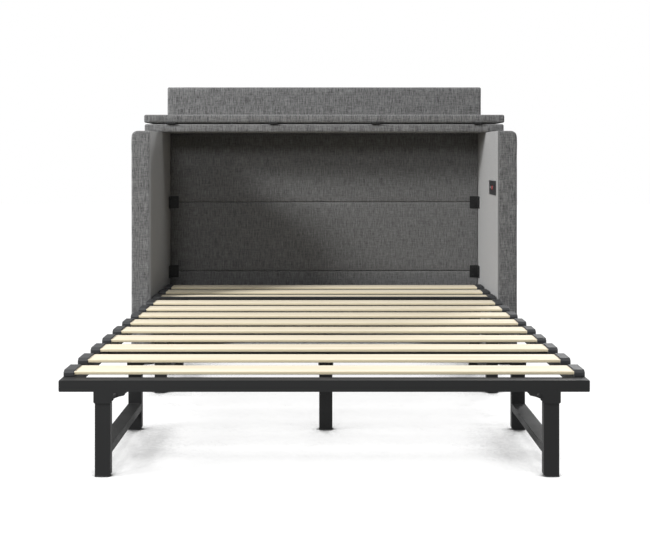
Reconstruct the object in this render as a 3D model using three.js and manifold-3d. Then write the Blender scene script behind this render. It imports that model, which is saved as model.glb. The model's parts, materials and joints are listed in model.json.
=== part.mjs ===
// Bed with storage headboard: an upholstered cabinet with a folding lid, and a slatted steel
// bed frame that folds up into it. Millimetres, +Z up, foot of the bed towards -Y.

import * as THREE from 'three';
import { mergeVertices } from 'three/addons/utils/BufferGeometryUtils.js';
import Module from 'manifold-3d';

const wasm = await Module();
wasm.setup();

// Fits shared by all pieces
const fit = 0.3;            // gap between two pieces that touch
const overlap = 1;          // how far welded pieces run into each other
const runningFit = 1.2;     // gap beside a piece that turns

// Cabinet
const cabinetWidth = 1761;
const cabinetDepth = 577;
const cabinetSetForward = 5;    // front of the side panels, before the head fold
const sideThickness = 89.5;     // padded side panel with its lining
const sideHeight = 1064;
const sideTopRadius = 28;
const sideInnerRadius = 8;
const sideEdge = 10;
const liningThickness = 4;
const liningInset = 6;
const backThickness = 30;
const backBoards = 3;
const backSeam = 2;
const backLift = 8;
const lowBoardHeight = 347.5;
const backEdge = 5;
const cornerPlateWidth = 44;
const cornerPlateHeight = 62;
const cornerPlateSheet = 3;

// Folding lid on top of the cabinet
const lidSetback = 310;         // front edges of the folded leaves, behind the cabinet's front
const leafThickness = 40;
const leafSeam = 6;             // space between the folded leaves
const leafEdge = 9;
const rearLeafInset = 1;        // rear leaf inside the cabinet's sides
const frontLeafOverhang = 2;    // front leaf over the cabinet's sides
const frontLeafReach = 47;      // closed front leaf, before the cabinet's front
const apronInset = 62;          // apron inside the ends of its leaf
const apronHeight = 158;
const apronThickness = 40;

// Lid hinges
const hingeCount = 4;
const hingeInset = 132;         // outer hinge inside the cabinet's side
const hingeWidth = 44;
const hingeReach = 34;
const hingeSheet = 2;
const knuckleRadius = 4.5;
const hingePinRadius = 2;

// Socket unit in the right side panel
const socketPlateLength = 165;
const socketPlateHeight = 66;
const socketPlateSheet = 3;
const socketSetback = 46;
const socketCentreHeight = 800;
const socketBodyDepth = 38;
const socketBodyMargin = 12;
const socketHoleLength = 30;
const socketHoleHeight = 24;
const socketHoles = 3;

// Steel bed frame
const frameSideGap = 6;         // side rail to the lining of the cabinet
const railWidth = 34;
const railHeight = 34;
const railTop = 286;
const endRailDepth = 40;
const crossDepth = 34;
const headEndGap = 4;           // end of the frame, before the back boards
const headBarDepth = 30;
const headBarRise = 19.5;       // head bar above the side rails
const headBarSetback = 13;      // head bar in front of the fold line
const mountTabLength = 60;
const mountTabHeight = 26;
const mountTabSetback = 46;

// Folds of the frame. Each lies behind the last slat of the section before it
const foldReach = 66;           // slat centre to fold line
const headFoldReach = 103;
const foldGap = 20;             // rail end to fold line
const headFoldGap = 44;
const headRailGap = 16;
const lugRadius = 14;
const lugSheet = 4;
const foldPinRadius = 5;

// Slats and their end holders
const slatCount = 12;
const slatPitch = 163;
const firstSlat = 91;
const slatWidth = 84;
const slatThickness = 10;
const slatRound = 4;
const slatInsert = 24;          // slat end inside its holder
const slatLift = 6;             // slat underside above the rail
const holderWidth = 33;
const holderHalfLength = 44;
const holderHeight = 20;
const holderChamfer = 9;
const holderChamferDrop = 7;

// Legs
const legInset = 120;           // leg centre inside the outer face of the side rail
const legShift = 8.5;           // both legs of a row, to the right of the bed's middle
const centreLegSide = 5.5;      // middle leg, to the right of the bed's middle
const legWidth = 46;
const legDepth = 25;
const legChamfer = 6;
const secondRowReach = 168.5;   // second row of legs, before the foot fold
const thirdRowReach = 174;      // third row of legs, behind the link fold
const stretcherHeight = 25;
const stretcherBottom = 66;
const centreLegShift = 1;

// Leg brackets
const bracketSheet = 2.5;
const bracketDrop = 34.5;
const bracketBevel = 3.5;
const gussetDrop = 24;
const gussetMidReach = 59;
const gussetMidDrop = 12;
const gussetReach = 69;
const legPinInset = 38;         // pin to leg centre, towards the middle of the bed
const legPinDrop = 10;
const legPinRadius = 3.5;
const legLugRadius = 8;
const centrePinInset = 25;
const centreGussetReach = 34;
const centreGussetDrop = 18;

// Facets
const roundSides = 7;
const cornerSteps = 3;

// Sizes that follow from the ones above. Places along Y are measured from the foot of the bed
const slatCentre = (i) => firstSlat + i * slatPitch;
const sectionEnds = { foot: 3, link: 4, middle: 8, head: slatCount - 1 };     // last slats
const footFold = slatCentre(sectionEnds.foot) + foldReach;
const linkFold = slatCentre(sectionEnds.link) + foldReach;
const headFold = slatCentre(sectionEnds.middle) + headFoldReach;
const secondLegRow = footFold - secondRowReach;
const thirdLegRow = linkFold + thirdRowReach;
const cabinetFront = headFold - cabinetSetForward;
const lidFold = cabinetFront + lidSetback;
const frontLeafDepth = lidSetback + frontLeafReach;
const insideHalfWidth = cabinetWidth / 2 - sideThickness;
const rearLeafWidth = cabinetWidth - 2 * rearLeafInset;
const frontLeafWidth = cabinetWidth + 2 * frontLeafOverhang;
const apronWidth = frontLeafWidth - 2 * apronInset;
const hingeSpread = cabinetWidth - 2 * hingeInset;
const frameHalfWidth = insideHalfWidth - frameSideGap;
const legCentre = frameHalfWidth - legInset;
const railBottom = railTop - railHeight;
const pivotHeight = railTop - railHeight / 2;
const railInner = frameHalfWidth - railWidth;
const holderInner = frameHalfWidth - holderWidth;
const slatBottom = railTop + slatLift;
const cabinetBack = cabinetFront + cabinetDepth;
const backFace = cabinetBack - backThickness;
const headFrameEnd = backFace - headEndGap;
const hingeLine = lidFold - knuckleRadius - runningFit;
const rearLeafBottom = sideHeight + fit;
const hingeHeight = rearLeafBottom + leafThickness + leafSeam / 2;
const frontLeafBottom = hingeHeight + leafSeam / 2;
const overallLength = lidFold + frontLeafDepth;
const sides = [['left', -1], ['right', 1]];

// Materials
const fabric = { color: 0x707173, roughness: 0.95, metalness: 0 };
const lining = { color: 0x9c9da1, roughness: 0.85, metalness: 0 };
const steel = { color: 0x323336, roughness: 0.5, metalness: 0.4 };
const blackPlastic = { color: 0x2a2b2e, roughness: 0.6, metalness: 0 };
const wood = { color: 0xebdfbf, roughness: 0.6, metalness: 0 };

// Turns shape coordinates (across, up, out) into model axes for an extrusion along one axis
const extrusionAxes = {
  x: new THREE.Matrix4().makeBasis(
    new THREE.Vector3(0, 1, 0), new THREE.Vector3(0, 0, 1), new THREE.Vector3(1, 0, 0)),
  y: new THREE.Matrix4().makeBasis(
    new THREE.Vector3(1, 0, 0), new THREE.Vector3(0, 0, 1), new THREE.Vector3(0, -1, 0)),
  z: new THREE.Matrix4(),
};

const root = new THREE.Group();
root.position.y = -overallLength / 2;

function addMesh(name, geometry, finish, position = [0, 0, 0]) {
  const mesh = new THREE.Mesh(geometry, new THREE.MeshStandardMaterial(finish));
  mesh.name = name;
  mesh.position.set(...position);
  root.add(mesh);
}

// A box between two corners, given as [low, high] pairs along X, Y and Z
function box(x, y, z) {
  const geometry = new THREE.BoxGeometry(x[1] - x[0], y[1] - y[0], z[1] - z[0]);
  return geometry.translate((x[0] + x[1]) / 2, (y[0] + y[1]) / 2, (z[0] + z[1]) / 2);
}

// A span on the left or right side of the bed, in the order low, high
function span(side, inner, outer) {
  return side > 0 ? [inner, outer] : [-outer, -inner];
}

function extrude(axis, shape, from, to, curveSegments = cornerSteps) {
  const geometry = new THREE.ExtrudeGeometry(
    shape, { depth: to - from, bevelEnabled: false, curveSegments });
  geometry.translate(0, 0, axis === 'y' ? -to : from);
  return geometry.applyMatrix4(extrusionAxes[axis]);
}

function rod(axis, radius, from, to, centre) {
  const shape = new THREE.Shape();
  shape.absarc(centre[0], centre[1], radius, 0, 2 * Math.PI);
  return extrude(axis, shape, from, to, roundSides);
}

// Outline with a radius of its own at each corner, in the order of the points
function roundedOutline(points, radii) {
  const shape = new THREE.Shape();
  points.forEach((point, i) => {
    const corner = new THREE.Vector2(...point);
    const before = new THREE.Vector2(...points.at(i - 1)).sub(corner).setLength(radii[i]);
    const after = new THREE.Vector2(...points[(i + 1) % points.length]).sub(corner)
      .setLength(radii[i]);
    before.add(corner);
    after.add(corner);
    if (i === 0) shape.moveTo(before.x, before.y);
    else shape.lineTo(before.x, before.y);
    shape.quadraticCurveTo(corner.x, corner.y, after.x, after.y);
  });
  shape.closePath();
  return shape;
}

function rectangle(low, high, radius) {
  const points = [[low[0], low[1]], [high[0], low[1]], [high[0], high[1]], [low[0], high[1]]];
  return roundedOutline(points, points.map(() => radius));
}

// Booleans
function solid(geometry) {
  const bare = geometry.clone();
  bare.deleteAttribute('normal');
  bare.deleteAttribute('uv');
  const merged = mergeVertices(bare);
  const vertProperties = new Float32Array(merged.attributes.position.array);
  const triVerts = new Uint32Array(merged.index.array);
  return new wasm.Manifold(new wasm.Mesh({ numProp: 3, vertProperties, triVerts }));
}

function toGeometry(body) {
  const mesh = body.getMesh();
  const geometry = new THREE.BufferGeometry();
  geometry.setAttribute('position', new THREE.BufferAttribute(mesh.vertProperties, 3));
  geometry.setIndex(new THREE.BufferAttribute(mesh.triVerts, 1));
  return geometry.toNonIndexed();
}

function combine(added, removed = []) {
  let result = solid(added[0]);
  for (const piece of added.slice(1)) result = result.add(solid(piece));
  for (const piece of removed) result = result.subtract(solid(piece));
  return toGeometry(result);
}

// An upholstered board: every edge is rounded, and one outline seen from the front can differ
function paddedBoard(x, y, z, edge, front = rectangle([x[0], z[0]], [x[1], z[1]], edge)) {
  const plan = rectangle([x[0], y[0]], [x[1], y[1]], edge);
  const side = rectangle([y[0], z[0]], [y[1], z[1]], edge);
  const body = solid(extrude('y', front, ...y))
    .intersect(solid(extrude('z', plan, ...z)))
    .intersect(solid(extrude('x', side, ...x)));
  return toGeometry(body);
}

// Cabinet
function socketPocket(side, from, margin) {
  const centre = cabinetFront + socketSetback + socketPlateLength / 2;
  const halfLength = socketPlateLength / 2 - socketBodyMargin + margin;
  const halfHeight = socketPlateHeight / 2 - socketBodyMargin + margin;
  return box(
    span(side, from, insideHalfWidth + socketBodyDepth + margin),
    [centre - halfLength, centre + halfLength],
    [socketCentreHeight - halfHeight, socketCentreHeight + halfHeight]);
}

function addSidePanel(name, side) {
  const inner = side * (insideHalfWidth + liningThickness + fit);
  const outer = side * cabinetWidth / 2;
  const outline = roundedOutline(
    [[inner, 0], [outer, 0], [outer, sideHeight], [inner, sideHeight]],
    [sideInnerRadius, sideInnerRadius, sideTopRadius, sideInnerRadius]);
  const panel = paddedBoard(
    [inner, outer].sort((a, b) => a - b), [cabinetFront, cabinetBack], [0, sideHeight], sideEdge,
    outline);
  const sheet = box(
    span(side, insideHalfWidth, insideHalfWidth + liningThickness),
    [cabinetFront + liningInset, cabinetBack - liningInset],
    [liningInset, sideHeight - liningInset]);
  const pockets = side > 0 ? [socketPocket(side, insideHalfWidth - overlap, fit)] : [];
  addMesh(`side_panel_${name}`, combine([panel], pockets), fabric);
  addMesh(`side_lining_${name}`, combine([sheet], pockets), lining);
}

// The lowest back board has its own height, and the others share the rest
const firstSeam = backLift + lowBoardHeight + backSeam / 2;
const upperBoardPitch = (sideHeight + backSeam / 2 - firstSeam) / (backBoards - 1);
const backSeamHeight = (i) => firstSeam + (i - 1) * upperBoardPitch;

function addBackBoards() {
  const half = insideHalfWidth - fit;
  for (let i = 0; i < backBoards; i += 1) {
    const bottom = i === 0 ? backLift : backSeamHeight(i) + backSeam / 2;
    const height = [bottom, backSeamHeight(i + 1) - backSeam / 2];
    const board = paddedBoard([-half, half], [backFace, cabinetBack], height, backEdge);
    addMesh(`back_board_${i + 1}`, board, fabric);
  }
}

// Bent plates that tie the back boards to the side panels at each seam
function addCornerPlates(name, side) {
  const corner = [insideHalfWidth - fit, backFace - fit];
  for (let i = 1; i < backBoards; i += 1) {
    const seam = backSeamHeight(i);
    const height = [seam - cornerPlateHeight / 2, seam + cornerPlateHeight / 2];
    const backLeg = box(
      span(side, corner[0] - cornerPlateWidth, corner[0]),
      [corner[1] - cornerPlateSheet, corner[1]], height);
    const sideLeg = box(
      span(side, corner[0] - cornerPlateSheet, corner[0]),
      [corner[1] - cornerPlateWidth, corner[1]], height);
    addMesh(`corner_plate_${name}_${i}`, combine([backLeg, sideLeg]), steel);
  }
}

function addSocketUnit() {
  const start = cabinetFront + socketSetback;
  const face = insideHalfWidth - socketPlateSheet - fit;
  const plateX = [face, insideHalfWidth - fit];
  const plate = box(
    plateX, [start, start + socketPlateLength],
    [socketCentreHeight - socketPlateHeight / 2, socketCentreHeight + socketPlateHeight / 2]);
  const holePitch = (socketPlateLength - 2 * socketBodyMargin) / socketHoles;
  const holes = Array.from({ length: socketHoles }, (_, i) => {
    const centre = start + socketBodyMargin + (i + 1 / 2) * holePitch;
    return box(
      [face - overlap, insideHalfWidth + overlap],
      [centre - socketHoleLength / 2, centre + socketHoleLength / 2],
      [socketCentreHeight - socketHoleHeight / 2, socketCentreHeight + socketHoleHeight / 2]);
  });
  addMesh('socket_plate', combine([plate], holes), blackPlastic);
  addMesh('socket_body', socketPocket(1, insideHalfWidth, 0), blackPlastic);
}

// Lid, shown folded back: the rear leaf is fixed, the front leaf lies on it upside down
function addLid() {
  const apronBottom = frontLeafBottom + leafThickness + fit;
  const boards = {
    lid_rear_leaf: [
      rearLeafWidth, [lidFold, cabinetBack], [rearLeafBottom, rearLeafBottom + leafThickness]],
    lid_front_leaf: [
      frontLeafWidth, [lidFold, overallLength],
      [frontLeafBottom, frontLeafBottom + leafThickness]],
    lid_apron: [
      apronWidth, [overallLength - apronThickness, overallLength],
      [apronBottom, apronBottom + apronHeight - fit]],
  };
  for (const [name, [width, y, z]] of Object.entries(boards)) {
    addMesh(name, paddedBoard([-width / 2, width / 2], y, z, leafEdge), fabric);
  }
}

// One half of a hinge: a screwed plate and half the knuckle. up is -1 for the fixed half
function hingeHalf(centre, up) {
  const halfX = up > 0 ? [centre + fit, centre + hingeWidth / 2]
    : [centre - hingeWidth / 2, centre - fit];
  const outer = leafSeam / 2 - fit;
  const plateZ = [hingeHeight + up * outer, hingeHeight + up * (outer - hingeSheet)];
  plateZ.sort((a, b) => a - b);
  const plateFront = hingeLine + knuckleRadius + runningFit / 2;
  const added = [
    rod('x', knuckleRadius, ...halfX, [hingeLine, hingeHeight]),
    box([centre - hingeWidth / 2, centre + hingeWidth / 2], [plateFront, lidFold + hingeReach], plateZ),
    box(halfX, [hingeLine, plateFront + overlap], plateZ),
  ];
  const centreLine = [hingeLine, hingeHeight];
  if (up > 0) {
    const bore = rod('x', hingePinRadius + fit, halfX[0] - overlap, halfX[1] + overlap, centreLine);
    return combine(added, [bore]);
  }
  const pin = rod('x', hingePinRadius, centre - hingeWidth / 2, centre + hingeWidth / 2, centreLine);
  return combine([...added, pin]);
}

function addLidHinges() {
  for (let i = 0; i < hingeCount; i += 1) {
    const centre = -hingeSpread / 2 + i * hingeSpread / (hingeCount - 1);
    addMesh(`lid_hinge_fixed_${i + 1}`, hingeHalf(centre, -1), steel);
    addMesh(`lid_hinge_moving_${i + 1}`, hingeHalf(centre, 1), steel);
  }
}

// Slats and side rails
function addSlats() {
  const outline = rectangle(
    [-slatWidth / 2, slatBottom], [slatWidth / 2, slatBottom + slatThickness], slatRound);
  const end = holderInner + slatInsert;
  const geometry = extrude('x', outline, -end, end);
  for (let i = 0; i < slatCount; i += 1) {
    const label = String(i + 1).padStart(2, '0');
    addMesh(`slat_${label}`, geometry, wood, [0, slatCentre(i), 0]);
  }
}

function holder(side, centre) {
  const top = railTop + holderHeight;
  const outline = new THREE.Shape([
    [-holderHalfLength, railTop - overlap],
    [holderHalfLength, railTop - overlap],
    [holderHalfLength, top - holderChamferDrop],
    [holderHalfLength - holderChamfer, top],
    [holderChamfer - holderHalfLength, top],
    [-holderHalfLength, top - holderChamferDrop],
  ].map(([y, z]) => new THREE.Vector2(centre + y, z)));
  return extrude('x', outline, ...span(side, holderInner, frameHalfWidth));
}

function holderSlot(side, centre) {
  const half = slatWidth / 2 + fit;
  return box(
    span(side, holderInner - overlap, holderInner + slatInsert + fit),
    [centre - half, centre + half],
    [slatBottom - fit, slatBottom + slatThickness + fit]);
}

// Flat lug from a rail end to a fold line. direction points from the fold line to the rail
function foldLug(x, foldLine, reach, direction) {
  const end = foldLine + direction * (reach + overlap);
  const y = [foldLine, end].sort((a, b) => a - b);
  return [
    box(x, y, [pivotHeight - lugRadius, pivotHeight + lugRadius]),
    rod('x', lugRadius, ...x, [foldLine, pivotHeight]),
  ];
}

// Two lugs and a pin, on the rail nearer the head
function foldFork(side, foldLine, reach) {
  const innerLug = span(side, railInner, railInner + lugSheet);
  const outerLug = span(side, frameHalfWidth - lugSheet, frameHalfWidth);
  return [
    ...foldLug(innerLug, foldLine, reach, 1),
    ...foldLug(outerLug, foldLine, reach, 1),
    rod('x', foldPinRadius, ...span(side, railInner + overlap, frameHalfWidth - overlap),
      [foldLine, pivotHeight]),
  ];
}

// One lug with a bore, on the rail nearer the foot
function foldTongue(side, foldLine, reach) {
  const middle = railInner + railWidth / 2;
  return foldLug(
    span(side, middle - lugSheet / 2, middle + lugSheet / 2), foldLine, reach, -1);
}

function foldBore(side, foldLine) {
  return rod(
    'x', foldPinRadius + fit, ...span(side, railInner - overlap, frameHalfWidth + overlap),
    [foldLine, pivotHeight]);
}

function sideRail(side, rail) {
  const added = [box(
    span(side, railInner, frameHalfWidth), [rail.from, rail.to], [railBottom, railTop])];
  const removed = [];
  for (let i = rail.firstSlat; i <= rail.lastSlat; i += 1) {
    added.push(holder(side, slatCentre(i)));
    removed.push(holderSlot(side, slatCentre(i)));
  }
  if (rail.tongue) {
    added.push(...foldTongue(side, rail.tongue, rail.tongue - rail.to));
    removed.push(foldBore(side, rail.tongue));
  }
  for (const tab of rail.tabs ?? []) {
    added.push(box(
      span(side, frameHalfWidth - overlap, insideHalfWidth - fit), [tab, tab + mountTabLength],
      [pivotHeight - mountTabHeight / 2, pivotHeight + mountTabHeight / 2]));
  }
  // The fork goes on last, so that its pin isn't bored away
  const body = combine(added, removed);
  if (!rail.fork) return body;
  return combine([body, ...foldFork(side, rail.fork, rail.from - rail.fork)]);
}

const firstTab = headFold + headRailGap + mountTabSetback;
const lastTab = headFrameEnd - mountTabSetback / 2 - mountTabLength;
const middleEnd = headFold - headFoldGap;
const rails = {
  foot: { from: endRailDepth + fit, to: footFold - foldGap, firstSlat: 0, tongue: footFold },
  link: {
    from: footFold + foldGap, to: linkFold - foldGap, firstSlat: sectionEnds.foot + 1,
    tongue: linkFold, fork: footFold,
  },
  middle: {
    from: linkFold + foldGap, to: middleEnd, firstSlat: sectionEnds.link + 1,
    tongue: headFold, fork: linkFold,
  },
  head: {
    from: headFold + headRailGap, to: headFrameEnd, firstSlat: sectionEnds.middle + 1,
    fork: headFold, tabs: [firstTab, lastTab],
  },
};

function addSideRails(name, side) {
  for (const [section, rail] of Object.entries(rails)) {
    const whole = { ...rail, lastSlat: sectionEnds[section] };
    addMesh(`${section}_side_rail_${name}`, sideRail(side, whole), steel);
  }
}

// Legs and their brackets. u runs from the leg's centre line towards the pin
const legAt = (side, u) => legShift + side * (legCentre - u);
const legSpan = (side, from, to) => [legAt(side, from), legAt(side, to)].sort((a, b) => a - b);
const legTop = railBottom - fit;
const bracketEdge = legWidth / 2 + runningFit + bracketSheet;
const pinHeight = railBottom - legPinDrop;

function bracketOutline(side) {
  const shape = new THREE.Shape();
  const at = (u, drop) => [legAt(side, u), railBottom - drop];
  const corner = bracketEdge - bracketBevel;
  shape.moveTo(...at(-bracketEdge, -overlap));
  shape.lineTo(...at(-bracketEdge, bracketDrop - bracketBevel));
  shape.lineTo(...at(-corner, bracketDrop));
  shape.lineTo(...at(corner, bracketDrop));
  shape.lineTo(...at(bracketEdge, bracketDrop - bracketBevel));
  shape.lineTo(...at(bracketEdge, gussetDrop));
  shape.quadraticCurveTo(
    ...at((bracketEdge + gussetMidReach) / 2, gussetMidDrop + bracketSheet),
    ...at(gussetMidReach, gussetMidDrop));
  shape.quadraticCurveTo(...at(gussetReach, gussetMidDrop), ...at(gussetReach, -overlap));
  shape.closePath();
  return shape;
}

// Two plates either side of the leg, an outer web and the pin, welded under a cross tube
function legBracket(side, legFront) {
  const outline = bracketOutline(side);
  const legBack = legFront + legDepth;
  const front = [legFront - fit - bracketSheet, legFront - fit];
  const back = [legBack + fit, legBack + fit + bracketSheet];
  const pinAt = [legAt(side, legPinInset), pinHeight];
  return [
    extrude('y', outline, ...front),
    extrude('y', outline, ...back),
    box(
      legSpan(side, bracketSheet - bracketEdge, -bracketEdge),
      [front[0], back[1]], [railBottom - bracketDrop + bracketBevel, railBottom + overlap]),
    rod('y', legPinRadius, front[0] + overlap, back[1] - overlap, pinAt),
  ];
}

function crossTube(from, depth, bottom, top, half) {
  return box([-half, half], [from, from + depth], [bottom, top]);
}

function crossWithBrackets(from, depth, half, legFront) {
  const tube = crossTube(from, depth, railBottom, railTop, half);
  const brackets = sides.flatMap(([, side]) => legBracket(side, legFront));
  return [tube, ...brackets];
}

// One leg with the lug that its pin goes through
function leg(side, front) {
  const half = legWidth / 2;
  const outline = new THREE.Shape([
    [-half, 0], [-half, legTop], [half, legTop], [half, legChamfer], [half - legChamfer, 0],
  ].map(([u, z]) => new THREE.Vector2(legAt(side, u), z)));
  const lug = box(
    legSpan(side, half - overlap, legPinInset), [front, front + legDepth],
    [pinHeight - legLugRadius, pinHeight + legLugRadius]);
  const nose = rod(
    'y', legLugRadius, front, front + legDepth, [legAt(side, legPinInset), pinHeight]);
  return [extrude('y', outline, front, front + legDepth), lug, nose];
}

// Two legs welded to a stretcher, which fold inwards together
function addLegFrame(name, side, frontRow, backRow) {
  const pinAt = [legAt(side, legPinInset), pinHeight];
  const stretcher = box(
    legSpan(side, legWidth / 2, -legWidth / 2),
    [frontRow + legDepth - overlap, backRow + overlap],
    [stretcherBottom, stretcherBottom + stretcherHeight]);
  const bore = rod(
    'y', legPinRadius + fit, frontRow - overlap, backRow + legDepth + overlap, pinAt);
  const pieces = [...leg(side, frontRow), ...leg(side, backRow), stretcher];
  addMesh(name, combine(pieces, [bore]), steel);
}

// Middle leg under the second row, which folds forwards
const centreLegFront = secondLegRow + centreLegShift;
const centreLegLine = centreLegFront + legDepth / 2;
const centrePin = [centreLegLine - centrePinInset, pinHeight];

function centreBracket() {
  const back = centreLegFront + legDepth + fit;
  const outline = new THREE.Shape([
    [back, railBottom + overlap],
    [back, railBottom - bracketDrop],
    [centreLegFront, railBottom - bracketDrop],
    [centreLegLine - centreGussetReach, railBottom - centreGussetDrop],
    [centreLegLine - centreGussetReach, railBottom],
    [secondLegRow, railBottom + overlap],
  ].map(([y, z]) => new THREE.Vector2(y, z)));
  const left = centreLegSide - legWidth / 2 - fit;
  const right = centreLegSide + legWidth / 2 + fit;
  const pinEnds = [left - bracketSheet / 2, right + bracketSheet / 2];
  return [
    extrude('x', outline, right, right + bracketSheet),
    extrude('x', outline, left - bracketSheet, left),
    rod('x', legPinRadius, ...pinEnds, centrePin),
  ];
}

function addCentreLeg() {
  const wide = [centreLegSide - legWidth / 2, centreLegSide + legWidth / 2];
  const tube = box(wide, [centreLegFront, centreLegFront + legDepth], [0, legTop]);
  const lug = box(
    wide, [centrePin[0], centreLegFront + overlap],
    [pinHeight - legLugRadius, pinHeight + legLugRadius]);
  const nose = rod('x', legLugRadius, ...wide, centrePin);
  const bore = rod('x', legPinRadius + fit, wide[0] - overlap, wide[1] + overlap, centrePin);
  addMesh('centre_leg', combine([tube, lug, nose], [bore]), steel);
}

const frontLegRow = bracketSheet + fit;
const fourthLegRow = middleEnd - bracketSheet - fit - legDepth;
const crossHalf = railInner - fit;

function addCrossMembers() {
  const secondCross = secondLegRow - bracketSheet - fit;
  const thirdCross = thirdLegRow - bracketSheet - fit;
  const endRail = crossWithBrackets(0, endRailDepth, frameHalfWidth, frontLegRow);
  const footCross = crossWithBrackets(secondCross, crossDepth, crossHalf, secondLegRow);
  const middleFront = crossWithBrackets(thirdCross, crossDepth, crossHalf, thirdLegRow);
  const middleBack = crossWithBrackets(
    middleEnd - crossDepth, crossDepth, crossHalf, fourthLegRow);
  const barFrom = headFold - headBarSetback;
  addMesh('foot_end_rail', combine(endRail), steel);
  addMesh('foot_cross_tube', combine([...footCross, ...centreBracket()]), steel);
  addMesh('middle_cross_front', combine(middleFront), steel);
  addMesh('middle_cross_back', combine(middleBack), steel);
  addMesh(
    'head_bar', crossTube(barFrom, headBarDepth, railBottom, railTop + headBarRise, crossHalf),
    steel);
  addMesh(
    'head_cross_back',
    crossTube(headFrameEnd - crossDepth, crossDepth, railBottom, railTop, crossHalf), steel);
}

for (const [name, side] of sides) {
  addSidePanel(name, side);
  addCornerPlates(name, side);
  addSideRails(name, side);
  addLegFrame(`foot_leg_frame_${name}`, side, frontLegRow, secondLegRow);
  addLegFrame(`middle_leg_frame_${name}`, side, thirdLegRow, fourthLegRow);
}
addBackBoards();
addSocketUnit();
addLid();
addLidHinges();
addSlats();
addCrossMembers();
addCentreLeg();

export default root;
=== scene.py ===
import json
import math

import bmesh
import bpy
from mathutils import Matrix, Vector, noise

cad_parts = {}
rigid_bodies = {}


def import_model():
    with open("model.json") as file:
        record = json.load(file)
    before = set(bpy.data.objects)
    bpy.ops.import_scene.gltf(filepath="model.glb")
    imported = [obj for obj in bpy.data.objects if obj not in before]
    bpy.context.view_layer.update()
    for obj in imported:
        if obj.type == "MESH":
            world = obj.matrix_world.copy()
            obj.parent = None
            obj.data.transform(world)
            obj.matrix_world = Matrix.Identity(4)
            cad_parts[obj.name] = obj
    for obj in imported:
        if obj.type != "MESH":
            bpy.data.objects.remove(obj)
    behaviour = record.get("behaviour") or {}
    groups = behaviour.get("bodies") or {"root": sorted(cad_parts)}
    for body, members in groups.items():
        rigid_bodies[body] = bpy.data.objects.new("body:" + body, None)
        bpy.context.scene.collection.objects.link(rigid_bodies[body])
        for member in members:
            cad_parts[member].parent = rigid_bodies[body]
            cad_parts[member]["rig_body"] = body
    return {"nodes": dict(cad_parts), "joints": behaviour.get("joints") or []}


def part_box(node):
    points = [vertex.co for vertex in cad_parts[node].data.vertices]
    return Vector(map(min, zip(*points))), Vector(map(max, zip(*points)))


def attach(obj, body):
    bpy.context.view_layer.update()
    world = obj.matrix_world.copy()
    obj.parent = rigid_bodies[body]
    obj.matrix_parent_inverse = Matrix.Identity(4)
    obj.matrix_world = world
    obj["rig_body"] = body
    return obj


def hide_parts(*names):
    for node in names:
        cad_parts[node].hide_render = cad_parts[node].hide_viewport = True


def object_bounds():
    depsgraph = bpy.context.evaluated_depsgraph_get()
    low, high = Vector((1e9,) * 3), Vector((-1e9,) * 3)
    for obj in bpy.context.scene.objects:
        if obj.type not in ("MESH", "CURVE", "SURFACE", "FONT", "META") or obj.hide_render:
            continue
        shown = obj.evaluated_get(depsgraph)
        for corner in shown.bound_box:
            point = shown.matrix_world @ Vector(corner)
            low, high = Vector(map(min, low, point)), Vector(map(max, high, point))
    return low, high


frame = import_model()
cad_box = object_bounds()

# Bed with storage headboard: padded boards, slats, steel and fittings around the CAD frame.
# Lengths are in metres. Foot of the bed towards -Y, +Z up.

NODES = frame["nodes"]
BODY_OF = {name: node["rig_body"] for name, node in NODES.items()}
SIDES = {"left": -1, "right": 1}

# The photograph's frame and the camera that took it
PHOTO_WIDTH, PHOTO_HEIGHT = 650, 551
FOCAL_PIXELS = 937
HORIZON_ROW = 155
MIDDLE_COLUMN = 324.2           # the bed's middle plane in the photograph
CAMERA_HEIGHT = 0.953
CAMERA_REACH = 2.772            # camera to the front of the foot rail
SENSOR_WIDTH = 36

# Padding
LOFT = 0.0012                   # the cloth starts this far inside its CAD solid
SWELL = 0.0026                  # and may swell this far
CLOTH_STEP = 0.022              # widest face of the cloth before it is subdivided
CLOTH_FRAMES = 20
CLOTH_PRESSURE = 4
CLOTH_STIFFNESS = 12
CLOTH_BENDING = 2
PINNED_SHARE = 0.3              # points this share of an edge radius from a flat face stay there
TICK_GAP = 0.0008               # places closer together than this count as one
TINY = 1e-6
BLOCK_STEP = 0.1                # widest face of a plain block
BOARD_EDGE = 0.009
BACK_BOARD_EDGE = 0.0075
SIDE_EDGE = 0.010
SIDE_TOP_RADIUS = 0.028
SHARP_EDGE = 0.002              # edge radius where the cloth meets another board
WRINKLE = 0.0004
WRINKLE_LENGTH = 0.09

# Linings, and the black tape that closes the seams between the back boards as painted shade
STITCH_PITCH = 0.007
STITCH_LENGTH = 0.005
STITCH_WIDTH = 0.0009
STITCH_RISE = 0.0006
STITCH_INSET = 0.009            # stitches inside the edge of a lining
LINING_EDGE = 0.0015
LINING_SETBACK = 0.002          # lining behind the front of its panel
LINING_TOP_GAP = 0.0003
TAPE_WIDTH = 0.05
TAPE_THICKNESS = 0.0012
TAPE_EDGE = 0.0005
TAPE_CLEARANCE = 0.0002         # tape behind the boards
TAPE_INSET = 0.004              # tape ends inside the boards' ends
TAPE_OVERHANG = 0.045           # the tape under the lid reaches this far past them instead

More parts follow.
